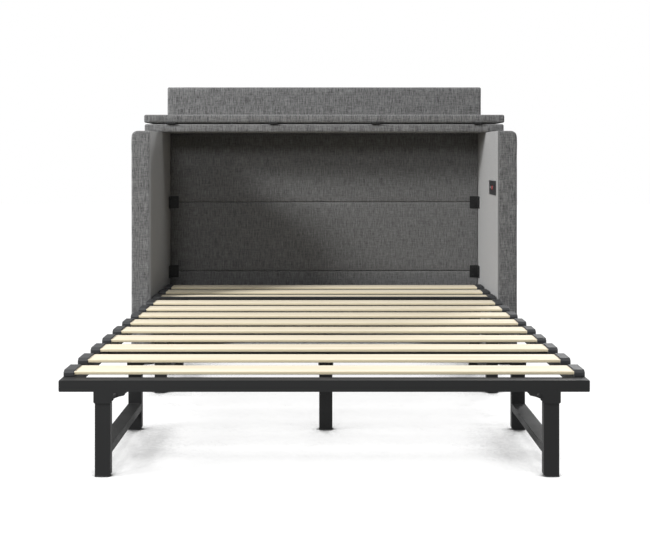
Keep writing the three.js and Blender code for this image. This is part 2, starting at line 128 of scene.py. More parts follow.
# Steel and plastic
RAIL_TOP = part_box("head_cross_back")[1].z
RAIL_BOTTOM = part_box("head_cross_back")[0].z
RAIL_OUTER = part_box("foot_end_rail")[1].x
CUT_MARGIN = 0.0002             # side rails are cut off this far above their top
WELD_DISTANCE = 1e-5            # points closer together than this are one
FLAT_ANGLE = math.radians(1)
SHARP_ANGLE = math.radians(30)
TUBE_EDGE = 0.0022
SHEET_EDGE = 0.0006
HINGE_EDGE = 0.0004
BEVEL_SEGMENTS = 3
TUBE_LENGTH = 0.062             # a straight edge longer than this belongs to a tube
FOOT_RAIL_DEPTH = 0.040
LEG_WIDTH = 0.046
LEG_DEPTH = 0.025
LEG_CHAMFER = 0.006
BRACKET_SHEET = 0.0028          # leg face to the outside of its bracket
CROSS_DEPTH = 0.034
STRETCHER_HEIGHTS = (0.066, 0.091)
PLATE_SHEET = 0.003
HINGE_SEAT = 0.0007             # hinge plate's free face off the middle of its seam
PLUG_EDGE = 0.002
PLUG_INSIDE = 0.002             # plug inside the end of the foot rail
PLUG_PROUD = 0.0022
PLUG_MARGIN = 0.0012            # plug inside the rail's outline
PAD_HEIGHT = 0.0025
PAD_PROUD = 0.0005              # pad past the outline of its leg
PAD_EDGE = 0.0008

# Heads of rivets and screws: radius and height, and profiles of radius and height as shares
FRAME_RIVET = (0.008, 0.003)
LEG_RIVET = (0.0062, 0.0024)
PLATE_SCREW = (0.0046, 0.0022)
HINGE_SCREW = (0.0034, 0.0008)
RIVET = [(0, 1), (0.55, 0.93), (0.86, 0.68), (1, 0.3), (1, 0)]
SCREW = [(0, 0.35), (0.42, 0.35), (0.46, 0.9), (0.62, 1), (0.9, 0.75), (1, 0.35), (1, 0)]
LATHE_SIDES = 20
HEAD_TIP = 0.02                 # smallest radius of a profile, as a share
HEAD_SINK = 0.0004              # head into its surface
HEAD_SHARP_ANGLE = math.radians(50)
PLATE_SCREW_INSET = 0.014       # screws from the top and bottom of a corner plate
PLATE_SCREW_REACH = 0.026       # screws from the corner between the boards
HINGE_SCREW_INSET = 0.011

# Weld beads
BEAD_STEP = 0.0009
BEAD_PITCH = 0.0028
BEAD_SIDES = 8
BEAD_LEAST_STEPS = 6
BEAD_WAIST = 0.78               # share of the radius between two ripples
BEAD_END = 0.35                 # share of the radius at both ends
LEG_BEAD = 0.0022               # radius of the beads on the leg frames
LEG_BEAD_INSET = 0.004
CROSS_BEAD = 0.0018             # radius of the beads on the cross tubes
CROSS_BEAD_INSET = 0.003

# Socket unit. A block is given as length, height, face behind the plate's, depth, edge radius.
SOCKET_HEIGHT = 0.8             # middle of the unit above the floor
SOCKET_MARGIN = 0.012           # front end of the plate to the first field
SOCKET_PITCH = 0.047            # length of one field
SLOT_OFFSET = 0.0063            # slots and ports to both sides of the middle of their insert
SWITCH_BLOCK = (0.024, 0.018, -0.0022, 0.005, 0.0015)
INSERT_BLOCK = (0.0292, 0.0232, 0.0012, 0.002, 0.0008)
OUTLET_SLOT = (0.0022, 0.008, 0.0010, 0.0008, 0.0002)
PORT_SLOT = (0.0048, 0.0126, 0.0010, 0.0008, 0.0003)
PORT_TONGUE = (0.0018, 0.0104, 0.0006, 0.0008, 0.0002)
SOCKET_EDGES = (0.0012, 0.0008)

# Slats and their holders
SLAT_EDGE = 0.0024
SLAT_CROWN = 0.0008
SLAT_SHARP_ANGLE = math.radians(40)
HOLDER_EDGE = 0.0022
HOLDER_WIDTH = 0.033
HOLDER_HALF = 0.044             # half length along the rail
HOLDER_HEIGHT = 0.020
HOLDER_SLOPE = 0.009
HOLDER_SLOPE_DROP = 0.007
SLAT_INSERT = 0.004             # slat end inside its holder

# Floor, surroundings and lamps
FLOOR_HALF = 14.0
FLOOR_DROP = 0.001
FLOOR_GREY = 0.12
SHADE_REACH = 0.4               # what is nearer than this to the floor shades it
SHADE_FULL, SHADE_NONE = 0.45, 0.56
NEAR_GLOW, FAR_GLOW = 0.91, 0.1
FAR_START, FAR_END = 5.0, 9.0   # the far glow grows between these distances
SKY_LIGHT, SKY_SEEN = 0.02, 1.0
BED_MIDDLE = (0, 0.4, 0.7)


# Materials
class Graph:
    """The node tree of one material, with short ways to add nodes."""

    def __init__(self, name, **constants):
        self.material = bpy.data.materials.new(name)
        self.material.use_nodes = True
        self.tree = self.material.node_tree
        self.shader = self.tree.nodes["Principled BSDF"]
        for socket, value in constants.items():
            self.shader.inputs[socket.replace("_", " ")].default_value = value

    def feed(self, socket, value):
        if isinstance(value, bpy.types.NodeSocket):
            self.tree.links.new(value, socket)
        else:
            socket.default_value = value

    def add(self, kind, *values, out=0, **settings):
        node = self.tree.nodes.new("ShaderNode" + kind)
        for key, value in settings.items():
            setattr(node, key, value)
        for socket, value in zip(node.inputs, values):
            if value is not None:
                self.feed(socket, value)
        return node.outputs[out]

    def math(self, operation, a, b=0.5, c=0.5):
        return self.add("Math", a, b, c, operation=operation)

    def noise(self, x, y, z, detail=2.0):
        node = self.tree.nodes.new("ShaderNodeTexNoise")
        place = self.add("CombineXYZ", x, y, z)
        self.feed(node.inputs["Vector"], place)
        node.inputs["Scale"].default_value = 1
        node.inputs["Detail"].default_value = detail
        return node.outputs[0]

    def blend(self, factor, first, second):
        node = self.tree.nodes.new("ShaderNodeMix")
        node.data_type = "RGBA"
        sockets = [s for s in node.inputs if s.enabled]
        for socket, value in zip(sockets, (factor, first, second)):
            self.feed(socket, value)
        return next(s for s in node.outputs if s.enabled)

    def spread(self, value, low, high, to_low=0.0, to_high=1.0):
        return self.add("MapRange", value, low, high, to_low, to_high)

    def scaled(self, value, factor):
        return self.math("MULTIPLY", value, factor)

    def separate(self, vector):
        node = self.tree.nodes.new("ShaderNodeSeparateXYZ")
        self.feed(node.inputs[0], vector)
        return node.outputs

    def place(self):
        """Position on the piece at rest, in metres."""
        return self.separate(self.add("TexCoord", out=3))

    def even_noise(self, frequency, detail):
        """Noise that is as fine along every axis of the piece."""
        return self.noise(*[self.scaled(part, frequency) for part in self.place()], detail=detail)

    def facing(self):
        """How far the surface looks along each axis, without sign."""
        outward = self.separate(self.add("TexCoord", out=1))
        return [self.math("ABSOLUTE", part) for part in outward]

    def face_place(self):
        """Two coordinates across the face, in metres, whichever way it looks."""
        x, y, z = self.place()
        along_x, along_y, along_z = self.facing()
        looks_x = self.math("GREATER_THAN", along_x, self.math("MAXIMUM", along_y, along_z))
        looks_z = self.math("GREATER_THAN", along_z, self.math("MAXIMUM", along_x, along_y))
        across = self.add("Mix", looks_x, None, x, y)
        upward = self.add("Mix", looks_z, None, z, y)
        return across, upward

    def colour(self, value):
        self.feed(self.shader.inputs["Base Color"], value)

    def roughness(self, value):
        self.feed(self.shader.inputs["Roughness"], value)

    def bump(self, height, distance):
        node = self.tree.nodes.new("ShaderNodeBump")
        node.inputs["Distance"].default_value = distance
        self.feed(node.inputs["Height"], height)
        self.feed(self.shader.inputs["Normal"], node.outputs[0])


def grey(value, warmth=0.0):
    return (value * (1 + warmth), value, value * (1 - warmth), 1)


def linen(name, dark, light, slub, weave_depth):
    """Woven cloth with thick and thin yarns in both directions."""
    graph = Graph(name, Roughness=0.95, Sheen_Weight=0.25, Sheen_Roughness=0.6)
    across, upward = graph.face_place()
    thick, thin = 235.0, 640.0          # how often the tone changes in a metre across the yarns
    long_run, short_run = 19.0, 57.0    # and along them
    yarns = [
        graph.noise(graph.scaled(across, thick), graph.scaled(upward, long_run), 1.0),
        graph.noise(graph.scaled(across, long_run), graph.scaled(upward, thick), 7.0),
        graph.noise(graph.scaled(across, thin), graph.scaled(upward, short_run), 3.0),
        graph.noise(graph.scaled(across, short_run), graph.scaled(upward, thin), 9.0),
    ]
    shares = (1.35, 0.75, 1.15, 0.75)
    total = graph.scaled(yarns[0], shares[0])
    for yarn, share in zip(yarns[1:], shares[1:]):
        total = graph.math("MULTIPLY_ADD", yarn, share, total)
    mean = sum(shares) / 2
    tone = graph.spread(total, mean - slub, mean + slub)
    graph.colour(graph.blend(tone, grey(dark), grey(light)))
    weave_pitch, weave_share = 0.0022, 0.5
    warp = graph.math("SINE", graph.scaled(across, 2 * math.pi / weave_pitch))
    weft = graph.math("SINE", graph.scaled(upward, 2 * math.pi / weave_pitch))
    weave = graph.math("MULTIPLY", warp, weft)
    graph.bump(graph.math("MULTIPLY_ADD", weave, weave_share, total), weave_depth)
    return graph.material


def powder_coat(name, colour, roughness):
    """Black powder coat, with its fine orange peel and a little dust."""
    graph = Graph(name, Roughness=roughness, Specular_IOR_Level=0.2)
    peel = graph.even_noise(700.0, detail=1.0)
    patches = graph.even_noise(9.0, detail=4.0)
    darkest, palest, warmth = 0.85, 1.2, -0.02
    graph.colour(graph.blend(patches, grey(colour * darkest, warmth), grey(colour * palest, warmth)))
    smoothest, roughest = roughness - 0.06, roughness + 0.08
    graph.roughness(graph.spread(patches, 0.3, 0.7, smoothest, roughest))
    graph.bump(peel, distance=0.0002)
    return graph.material


def moulded_plastic(name, colour, roughness):
    """Moulded plastic with a fine spark-eroded texture."""
    graph = Graph(name, Roughness=roughness)
    grain = graph.even_noise(1500.0, detail=2.0)
    cloud = graph.even_noise(25.0, detail=3.0)
    darkest = 0.85
    darker = (*[part * darkest for part in colour[:3]], 1)
    graph.colour(graph.blend(cloud, darker, colour))
    graph.bump(grain, distance=0.0001)
    return graph.material


def birch_ply(name):
    """Pale birch slats with fine grain along them and plies on their edges."""
    graph = Graph(name, Roughness=0.55)
    x, y, z = graph.place()
    _, along_y, _ = graph.facing()
    grain_run, grain_fine = 3.0, 260.0  # how often the grain changes in a metre along and across
    figure_run, figure_fine = 1.1, 34.0
    grain = graph.noise(
        graph.scaled(x, grain_run), graph.scaled(y, grain_fine), graph.scaled(z, grain_fine),
        detail=4.0)
    figure = graph.noise(
        graph.scaled(x, figure_run), graph.scaled(y, figure_fine), 4.0, detail=3.0)
    grain_share = 0.55
    tone = graph.math("MULTIPLY_ADD", grain, grain_share, graph.scaled(figure, 1 - grain_share))
    pale, deep = (0.79, 0.725, 0.59, 1), (0.69, 0.60, 0.44, 1)
    face = graph.blend(graph.spread(tone, 0.36, 0.66), deep, pale)
    ply = 0.002
    pale_ply, deep_ply = (0.79, 0.71, 0.51, 1), (0.65, 0.56, 0.37, 1)
    layers = graph.math("SINE", graph.scaled(z, math.pi / ply))
    edge = graph.blend(graph.spread(layers, -0.4, 0.4), deep_ply, pale_ply)
    graph.colour(graph.blend(graph.spread(along_y, 0.75, 0.9), face, edge))
    graph.roughness(graph.spread(grain, 0.3, 0.7, 0.48, 0.64))
    graph.bump(grain, distance=0.00025)
    return graph.material


GREY_LINEN = linen("grey_linen", 0.036, 0.222, 0.36, 0.0006)
# A darker copy of the grey linen for the back boards: painted shade inside the cabinet.
SHADED_BACK_LINEN = linen("grey_linen_inside_painted_shade", 0.042, 0.158, 0.44, 0.0005)
LINING_CLOTH = linen("lining_cloth", 0.17, 0.24, 0.9, 0.0003)
THREAD = linen("stitching_thread", 0.16, 0.26, 0.5, 0.0002)
# Near-black tape behind the seams: painted shade in the seams between the boards.
SEAM_SHADE_TAPE = linen("black_seam_shade_tape", 0.008, 0.016, 0.6, 0.0002)
STEEL = powder_coat("black_powder_coat", 0.016, 0.55)
HINGE_STEEL = powder_coat("hinge_powder_coat", 0.012, 0.5)
PLASTIC = moulded_plastic("black_nylon", (0.016, 0.017, 0.019, 1), 0.55)
SOCKET_PLASTIC = moulded_plastic("socket_plastic", (0.018, 0.018, 0.020, 1), 0.35)
RED_PLASTIC = moulded_plastic("socket_red_plastic", (0.22, 0.03, 0.03, 1), 0.4)
# Near-black patches where the sockets and ports have holes: painted shade in the holes.
SLOT_SHADE_PLASTIC = moulded_plastic("socket_slot_painted_shade", (0.004, 0.004, 0.004, 1), 0.6)
TONGUE_PLASTIC = moulded_plastic("socket_tongue_plastic", (0.45, 0.45, 0.46, 1), 0.4)
PIN_STEEL = powder_coat("blackened_pin", 0.022, 0.38)
WOOD = birch_ply("birch_ply")


# Pieces
def add_piece(name, bm, material, body, replaces=()):
    mesh = bpy.data.meshes.new(name)
    bm.normal_update()
    bm.to_mesh(mesh)
    bm.free()
    mesh.materials.append(material)
    piece = bpy.data.objects.new(name, mesh)
    bpy.context.scene.collection.objects.link(piece)
    mesh.shade_smooth()
    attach(piece, body)
    if replaces:
        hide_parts(*replaces)
    return piece


def join_rings(bm, rings):
    """Faces between each ring of points and the next, and over both ends."""
    count = len(rings[0])
    for first, second in zip(rings, rings[1:]):
        for i in range(count):
            j = (i + 1) % count
            bm.faces.new((first[i], first[j], second[j], second[i]))
    bm.faces.new(rings[0][::-1])
    bm.faces.new(rings[-1])


def add_lathe(bm, profile, place):
    """A turned form: profile holds (radius, height) pairs along the place's Z axis."""
    rings = []
    for radius, height in profile:
        ring = []
        for i in range(LATHE_SIDES):
            angle = 2 * math.pi * i / LATHE_SIDES
            point = Vector((radius * math.cos(angle), radius * math.sin(angle), height))
            ring.append(bm.verts.new(place @ point))
        rings.append(ring)
    join_rings(bm, rings)


def along(axis, centre):
    """A place whose Z axis points along axis."""
    return Matrix.Translation(centre) @ Vector(axis).to_track_quat("Z", "Y").to_matrix().to_4x4()


# Padded boards
def ticks(low, high, radii, step):
    """Places along one side of a board, close together where its edges are rounded."""
    arc_steps = 3
    places = set()
    for radius in radii:
        for i in range(arc_steps + 1):
            reach = radius * (1 - math.tan(math.pi / 4 * i / arc_steps))
            places |= {low + reach, high - reach}
    inner = max(radii)
    count = max(2, math.ceil((high - low - 2 * inner) / step))
    for i in range(1, count):
        places.add(low + inner + (high - low - 2 * inner) * i / count)
    kept = []
    for place in sorted(places):
        if not kept or place - kept[-1] > TICK_GAP:
            kept.append(place)
    kept[-1] = high
    return kept


def shell_grid(bm, axes):
    """The surface of a box as a grid through the given places along each axis."""
    found = {}

    def corner(*index):
        if index not in found:
            found[index] = bm.verts.new([axes[a][i] for a, i in enumerate(index)])
        return found[index]

    counts = [len(places) - 1 for places in axes]
    for axis in range(3):
        second, third = (axis + 1) % 3, (axis + 2) % 3
        for end in (0, counts[axis]):
            for i in range(counts[second]):
                for j in range(counts[third]):
                    quad = []
                    for di, dj in ((0, 0), (1, 0), (1, 1), (0, 1)):
                        index = [0, 0, 0]
                        index[axis], index[second], index[third] = end, i + di, j + dj
                        quad.append(corner(*index))
                    bm.faces.new(quad if end else quad[::-1])


FACES = {"-x": (0, 0), "+x": (0, 1), "-y": (1, 0), "+y": (1, 1), "-z": (2, 0), "+z": (2, 1)}


def face_radii(edge, sharp=()):
    """Edge radius at the low and the high face of each axis."""
    radii = [[edge, edge] for _ in range(3)]
    for face in sharp:
        axis, end = FACES[face]
        radii[axis][end] = SHARP_EDGE
    return radii


def corner_signs(x_end, z_end):
    return (1 if x_end else -1), (1 if z_end else -1)


def past_corner(point, low, high, x_end, z_end, radius):
    """The middle of a wide corner's arc, and how far past it the point lies each way."""
    middle_x = (high.x - radius) if x_end else (low.x + radius)
    middle_z = (high.z - radius) if z_end else (low.z + radius)
    sign_x, sign_z = corner_signs(x_end, z_end)
    return middle_x, middle_z, (point.x - middle_x) * sign_x, (point.z - middle_z) * sign_z


def round_front_corner(point, low, high, corners):
    """Moves a point of the box inside the wide corners of the outline seen from the front."""
    for (x_end, z_end), radius in corners.items():
        middle_x, middle_z, a, b = past_corner(point, low, high, x_end, z_end, radius)
        sign_x, sign_z = corner_signs(x_end, z_end)
        if a > 0 and b > 0:
            shrink = max(a, b) / math.hypot(a, b)
            point.x = middle_x + a * shrink * sign_x
            point.z = middle_z + b * shrink * sign_z


def round_edges(point, low, high, corners, radii):
    """Rounds every edge of the box, with the radius of its own that each face has."""
    core = Vector(
        min(max(point[a], low[a] + radii[a][0]), high[a] - radii[a][1]) for a in range(3))
    for (x_end, z_end), radius in corners.items():
        middle_x, middle_z, a, b = past_corner(point, low, high, x_end, z_end, radius)
        sign_x, sign_z = corner_signs(x_end, z_end)
        inside = radius - radii[0][x_end]
        if a > 0 and b > 0 and math.hypot(a, b) > inside:
            pull = inside / math.hypot(a, b)
            core.x = middle_x + a * pull * sign_x
            core.z = middle_z + b * pull * sign_z
    reach = Vector(radii[a][point[a] > core[a]] for a in range(3))
    share = Vector((point[a] - core[a]) / reach[a] for a in range(3))
    if share.length > TINY:
        share.normalize()
        point.xyz = core + share * reach


def wrinkle(point, seed):
    """How far the cloth stands out or in at a point, in metres."""
    place = point / WRINKLE_LENGTH
    return WRINKLE * noise.noise(place + Vector((seed, 2 * seed, 3 * seed)))


def rounded_block(bm, low, high, edge):
    """Adds a box whose edges are all rounded by the same radius."""
    known = len(bm.verts)
    shell_grid(bm, [ticks(a, b, [edge], BLOCK_STEP) for a, b in zip(low, high)])
    bm.verts.ensure_lookup_table()
    for vert in bm.verts[known:]:
        round_edges(vert.co, low, high, {}, face_radii(edge))


def cloth_board(name, node, edge, flat, sharp=(), corners=(), seed=0):
    """A padded board in the space of its CAD node. flat names the faces that rest on something."""
    low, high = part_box(node)
    for face, (axis, end) in FACES.items():
        if face not in flat:
            (high if end else low)[axis] += -LOFT if end else LOFT
    radii = face_radii(edge, sharp)
    corners = dict(corners)
    bm = bmesh.new()
    axes = []
    for a in range(3):
        wide = corners.values() if a != 1 else ()
        axes.append(ticks(low[a], high[a], [*radii[a], *wide], CLOTH_STEP))
    shell_grid(bm, axes)
    for vert in bm.verts:
        round_front_corner(vert.co, low, high, corners)
        round_edges(vert.co, low, high, corners, radii)
    bm.normal_update()
    # The back boards take the darker copy of the linen, which paints the shade inside the cabinet.
    material = SHADED_BACK_LINEN if node.startswith("back_board") else GREY_LINEN
    piece = add_piece(name, bm, material, BODY_OF[node], [node])
    pinned = []
    for vert in piece.data.vertices:
        for face in flat:
            axis, end = FACES[face]
            if abs(vert.co[axis] - (high if end else low)[axis]) < edge * PINNED_SHARE:
                pinned.append(vert.index)
                break
    group = piece.vertex_groups.new(name="held")
    group.add(pinned, 1, "REPLACE")
    return {"piece": piece, "seed": seed, "pinned": set(pinned)}


def swell(boards):
    """Blows the cloth of every board up against its padding, all in one simulation."""
    scene = bpy.context.scene
    for board in boards:
        cloth = board["piece"].modifiers.new("cloth", "CLOTH")
        cloth.settings.use_pressure = True
        cloth.settings.uniform_pressure_force = CLOTH_PRESSURE
        cloth.settings.effector_weights.gravity = 0
        cloth.settings.vertex_group_mass = "held"
        cloth.settings.tension_stiffness = CLOTH_STIFFNESS
        cloth.settings.compression_stiffness = CLOTH_STIFFNESS
        cloth.settings.bending_stiffness = CLOTH_BENDING
        cloth.collision_settings.use_collision = False
        cloth.point_cache.frame_end = CLOTH_FRAMES
    for step in range(1, CLOTH_FRAMES + 1):
        scene.frame_set(step)
    graph = bpy.context.evaluated_depsgraph_get()
    for board in boards:
        piece = board["piece"]
        swollen = piece.evaluated_get(graph).data
        moved = [v.co.copy() for v in swollen.vertices]
        piece.modifiers.clear()
        outward = [v.normal.copy() for v in piece.data.vertices]
        for vert, target, normal in zip(piece.data.vertices, moved, outward):
            rise = (target - vert.co).dot(normal)
            vert.co += normal * min(max(rise, 0), SWELL)
    scene.frame_set(1)


def settle(boards):
    """Small unevenness in the cloth, and the last subdivision."""
    for board in boards:
        piece = board["piece"]
        normals = [v.normal.copy() for v in piece.data.vertices]
        for vert, normal in zip(piece.data.vertices, normals):
            if vert.index not in board["pinned"]:
                vert.co += normal * wrinkle(vert.co, board["seed"] + 1)
        subdivision = piece.modifiers.new("subdivision", "SUBSURF")
        subdivision.levels = subdivision.render_levels = 1


def add_boards():
    boards = []
    for i, (side, sign) in enumerate(SIDES.items()):
        inner = "+x" if sign < 0 else "-x"
        outer_top = (0, 1) if sign < 0 else (1, 1)
        boards.append(cloth_board(
            f"side_panel_{side}_cover", f"side_panel_{side}", SIDE_EDGE, [inner, "-z", "+z"],
            [inner], {outer_top: SIDE_TOP_RADIUS}, i))
    for i in (1, 2, 3):
        boards.append(cloth_board(
            f"back_board_{i}_cover", f"back_board_{i}", BACK_BOARD_EDGE, ["-x", "+x", "-z", "+z"],
            ["-x", "+x"], seed=i + 2))
    boards.append(cloth_board(
        "lid_rear_leaf_cover", "lid_rear_leaf", BOARD_EDGE, ["-z", "+z"], seed=6))
    boards.append(cloth_board(
        "lid_front_leaf_cover", "lid_front_leaf", BOARD_EDGE, ["-z", "+z"], seed=7))
    boards.append(cloth_board("lid_apron_cover", "lid_apron", BOARD_EDGE, ["-z"], seed=8))
    swell(boards)
    settle(boards)


def add_seam_shade_tapes():
    """Black tape on the back, along the seams between the boards and under the lid. It closes the
    seams so they show painted shade.
    """
    for i, above in enumerate(("back_board_2", "back_board_3", "lid_rear_leaf"), 1):
        low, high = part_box(f"back_board_{i}")
        middle = (high.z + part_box(above)[0].z) / 2
        overhang = TAPE_OVERHANG if above == "lid_rear_leaf" else -TAPE_INSET
        front = high.y + TAPE_CLEARANCE
        start = Vector((low.x - overhang, front, middle - TAPE_WIDTH / 2))
        end = Vector((high.x + overhang, front + TAPE_THICKNESS, middle + TAPE_WIDTH / 2))
        bm = bmesh.new()
        rounded_block(bm, start, end, TAPE_EDGE)
        add_piece(f"back_seam_shade_tape_{i}", bm, SEAM_SHADE_TAPE, BODY_OF["back_board_1"])


# Steel pieces cut from their CAD nodes, with rounded edges
def node_mesh(node, below=None):
    """The node's solid as clean faces, with only what lies below a height if one is given."""
    bm = bmesh.new()
    bm.from_mesh(NODES[node].data)
    bmesh.ops.remove_doubles(bm, verts=bm.verts, dist=WELD_DISTANCE)
    if below is not None:
        bmesh.ops.bisect_plane(
            bm, geom=bm.verts[:] + bm.edges[:] + bm.faces[:], plane_co=(0, 0, below),
            plane_no=(0, 0, 1), clear_outer=True)
        rim = [e for e in bm.edges if e.is_boundary]
        bmesh.ops.holes_fill(bm, edges=rim, sides=0)
    bmesh.ops.dissolve_limit(bm, angle_limit=FLAT_ANGLE, verts=bm.verts, edges=bm.edges)
    bmesh.ops.recalc_face_normals(bm, faces=bm.faces)
    return bm


def soften(piece, tube_edge, sheet_edge):
    """Bevels sharp edges: wide along tubes, narrow on sheets and lugs."""
    bm = bmesh.new()
    bm.from_mesh(piece.data)
    weight = bm.edges.layers.float.new("bevel_weight_edge")
    for edge in bm.edges:
        if len(edge.link_faces) == 2 and edge.calc_face_angle() > SHARP_ANGLE:
            edge[weight] = 1 if edge.calc_length() > TUBE_LENGTH else sheet_edge / tube_edge
    bm.to_mesh(piece.data)
    bm.free()
    piece.data.set_sharp_from_angle(angle=SHARP_ANGLE)
    bevel = piece.modifiers.new("bevel", "BEVEL")
    bevel.limit_method = "WEIGHT"
    bevel.width = tube_edge
    bevel.segments = BEVEL_SEGMENTS
    bevel.harden_normals = True
    bevel.use_clamp_overlap = True


def add_steel():
    """The frame and its legs, without the holders on its side rails, and the plates and hinges."""
    for node in NODES:
        if "corner_plate" in node or "lid_hinge" in node:
            material, edges = HINGE_STEEL, (HINGE_EDGE, HINGE_EDGE)
        elif "rail" in node or "leg" in node or "cross" in node or node == "head_bar":
            material, edges = STEEL, (TUBE_EDGE, SHEET_EDGE)
        else:
            continue
        below = RAIL_TOP + CUT_MARGIN if "side_rail" in node else None
        piece = add_piece(
            f"{node}_steel", node_mesh(node, below), material, BODY_OF[node], [node])
        soften(piece, *edges)


# Pins, screws, welds and plugs
def add_head(bm, centre, axis, radius, height, profile):
    """A turned rivet or screw head that stands on a surface."""
    turned = [(max(r, HEAD_TIP) * radius, h * height) for r, h in profile[::-1]]
    turned[0] = (turned[0][0], -HEAD_SINK)
    add_lathe(bm, turned, along(axis, centre))


def turned_piece(name, heads, material, body):
    """One piece of several heads, given as (centre, axis, radius, height, profile)."""
    bm = bmesh.new()
    for head in heads:
        add_head(bm, *head)
    bmesh.ops.recalc_face_normals(bm, faces=bm.faces)
    piece = add_piece(name, bm, material, body)
    piece.data.set_sharp_from_angle(angle=HEAD_SHARP_ANGLE)


def add_pins():
    """Rivet heads on both ends of each pivot of the frame and its legs."""
    rail_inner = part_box("foot_side_rail_right")[0].x
    for joint in frame["joints"]:
        name, pivot = joint["name"], Vector(joint["pos_m"])
        heads = []
        if name == "lid_hinge":
            continue
        if name == "centre_leg_fold":
            low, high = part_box("centre_leg")
            for x, axis in ((low.x, -1), (high.x, 1)):
                centre = Vector((x + axis * BRACKET_SHEET, pivot.y, pivot.z))
                heads.append((centre, (axis, 0, 0), *LEG_RIVET, RIVET))
        elif "leg" in name:
            low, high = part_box(joint["child"].replace("_leg_", "_leg_frame_"))
            for y, axis in ((low.y, -1), (high.y, 1)):
                centre = Vector((pivot.x, y + axis * BRACKET_SHEET, pivot.z))
                heads.append((centre, (0, axis, 0), *LEG_RIVET, RIVET))
        else:
            for sign in SIDES.values():
                for x, axis in ((RAIL_OUTER, sign), (rail_inner, -sign)):
                    centre = Vector((x * sign, pivot.y, pivot.z))
                    heads.append((centre, (axis, 0, 0), *FRAME_RIVET, RIVET))
        turned_piece(f"{name}_pin_heads", heads, PIN_STEEL, joint["parent"])


def add_fasteners():
    """Screws in the corner plates and the lid hinges."""
    for side, sign in SIDES.items():
        for i in (1, 2):
            node = f"corner_plate_{side}_{i}"
            low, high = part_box(node)
            outer = high.x if sign > 0 else low.x
            heads = []
            for z in (low.z + PLATE_SCREW_INSET, high.z - PLATE_SCREW_INSET):
                on_back = Vector((outer - sign * PLATE_SCREW_REACH, high.y - PLATE_SHEET, z))
                on_side = Vector((outer - sign * PLATE_SHEET, high.y - PLATE_SCREW_REACH, z))
                heads.append((on_back, (0, -1, 0), *PLATE_SCREW, SCREW))
                heads.append((on_side, (-sign, 0, 0), *PLATE_SCREW, SCREW))
            turned_piece(f"{node}_screws", heads, HINGE_STEEL, BODY_OF[node])
    for i in (1, 2, 3, 4):
        for kind, sign in (("fixed", 1), ("moving", -1)):
            node = f"lid_hinge_{kind}_{i}"
            low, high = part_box(node)
            face = (low.z + high.z) / 2 - sign * HINGE_SEAT
            heads = []
            for x in (low.x + HINGE_SCREW_INSET, high.x - HINGE_SCREW_INSET):
                centre = Vector((x, high.y - HINGE_SCREW_INSET, face))
                heads.append((centre, (0, 0, sign), *HINGE_SCREW, SCREW))
            turned_piece(f"{node}_screws", heads, PIN_STEEL, BODY_OF[node])


def add_bead(bm, start, end, radius):
    """A weld bead: a rippled round strip along a joint."""
    start, end = Vector(start), Vector(end)
    run = end - start
    direction = run.normalized()
    first = direction.orthogonal().normalized()
    second = direction.cross(first)
    steps = max(BEAD_LEAST_STEPS, int(run.length / BEAD_STEP))
    rings = []
    for i in range(steps + 1):
        crest = abs(math.sin(math.pi * i * BEAD_STEP / BEAD_PITCH))
        ripple = BEAD_WAIST + (1 - BEAD_WAIST) * crest
        taper = BEAD_END if i in (0, steps) else 1
        size = radius * ripple * taper
        ring = []
        for j in range(BEAD_SIDES):
            angle = 2 * math.pi * j / BEAD_SIDES
            offset = first * math.cos(angle) + second * math.sin(angle)
            ring.append(bm.verts.new(start + run * i / steps + offset * size))
        rings.append(ring)
    join_rings(bm, rings)


def add_welds():
    """Beads where the stretchers meet the legs, and where the cross tubes meet the side rails."""
    for part in ("foot", "middle"):
        for side in SIDES:
            node = f"{part}_leg_frame_{side}"
            low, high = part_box(node)
            outer = low.x if side == "left" else high.x
            left, right = sorted((outer, outer - SIDES[side] * LEG_WIDTH))
            bm = bmesh.new()
            for y in (low.y + LEG_DEPTH, high.y - LEG_DEPTH):
                for z in STRETCHER_HEIGHTS:
                    start = (left + LEG_BEAD_INSET, y, z)
                    add_bead(bm, start, (right - LEG_BEAD_INSET, y, z), LEG_BEAD)
            bmesh.ops.recalc_face_normals(bm, faces=bm.faces)
            add_piece(f"{node}_welds", bm, STEEL, BODY_OF[node])
    for node in ("foot_cross_tube", "middle_cross_front", "middle_cross_back", "head_cross_back"):
        low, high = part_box(node)
        front = high.y - CROSS_DEPTH if node.endswith("_back") else low.y
        back = front + CROSS_DEPTH
        inset = CROSS_BEAD_INSET
        bm = bmesh.new()
        for x in (low.x, high.x):
            for z in (RAIL_TOP, RAIL_BOTTOM):
                add_bead(bm, (x, front + inset, z), (x, back - inset, z), CROSS_BEAD)
            for y in (front, back):
                add_bead(bm, (x, y, RAIL_BOTTOM + inset), (x, y, RAIL_TOP - inset), CROSS_BEAD)
        bmesh.ops.recalc_face_normals(bm, faces=bm.faces)
        add_piece(f"{node}_welds", bm, STEEL, BODY_OF[node])


def add_end_plugs():
    """Plastic plugs in the open ends of the foot rail, with rounded edges."""
    low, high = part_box("foot_end_rail")
    for side, sign in SIDES.items():
        x = RAIL_OUTER * sign
        left, right = sorted((x - sign * PLUG_INSIDE, x + sign * PLUG_PROUD))
        back = low.y + FOOT_RAIL_DEPTH
        start = Vector((left, low.y + PLUG_MARGIN, RAIL_BOTTOM + PLUG_MARGIN))
        end = Vector((right, back - PLUG_MARGIN, RAIL_TOP - PLUG_MARGIN))
        bm = bmesh.new()
        rounded_block(bm, start, end, PLUG_EDGE)
        add_piece(f"foot_rail_plug_{side}", bm, PLASTIC, BODY_OF["foot_end_rail"])


def add_pad(bm, left, right, front):
    """A pad under a leg that stands between left and right, with its front at the given place."""
    start = Vector((left - PAD_PROUD, front - PAD_PROUD, 0))
    end = Vector((right + PAD_PROUD, front + LEG_DEPTH + PAD_PROUD, PAD_HEIGHT))
    rounded_block(bm, start, end, PAD_EDGE)


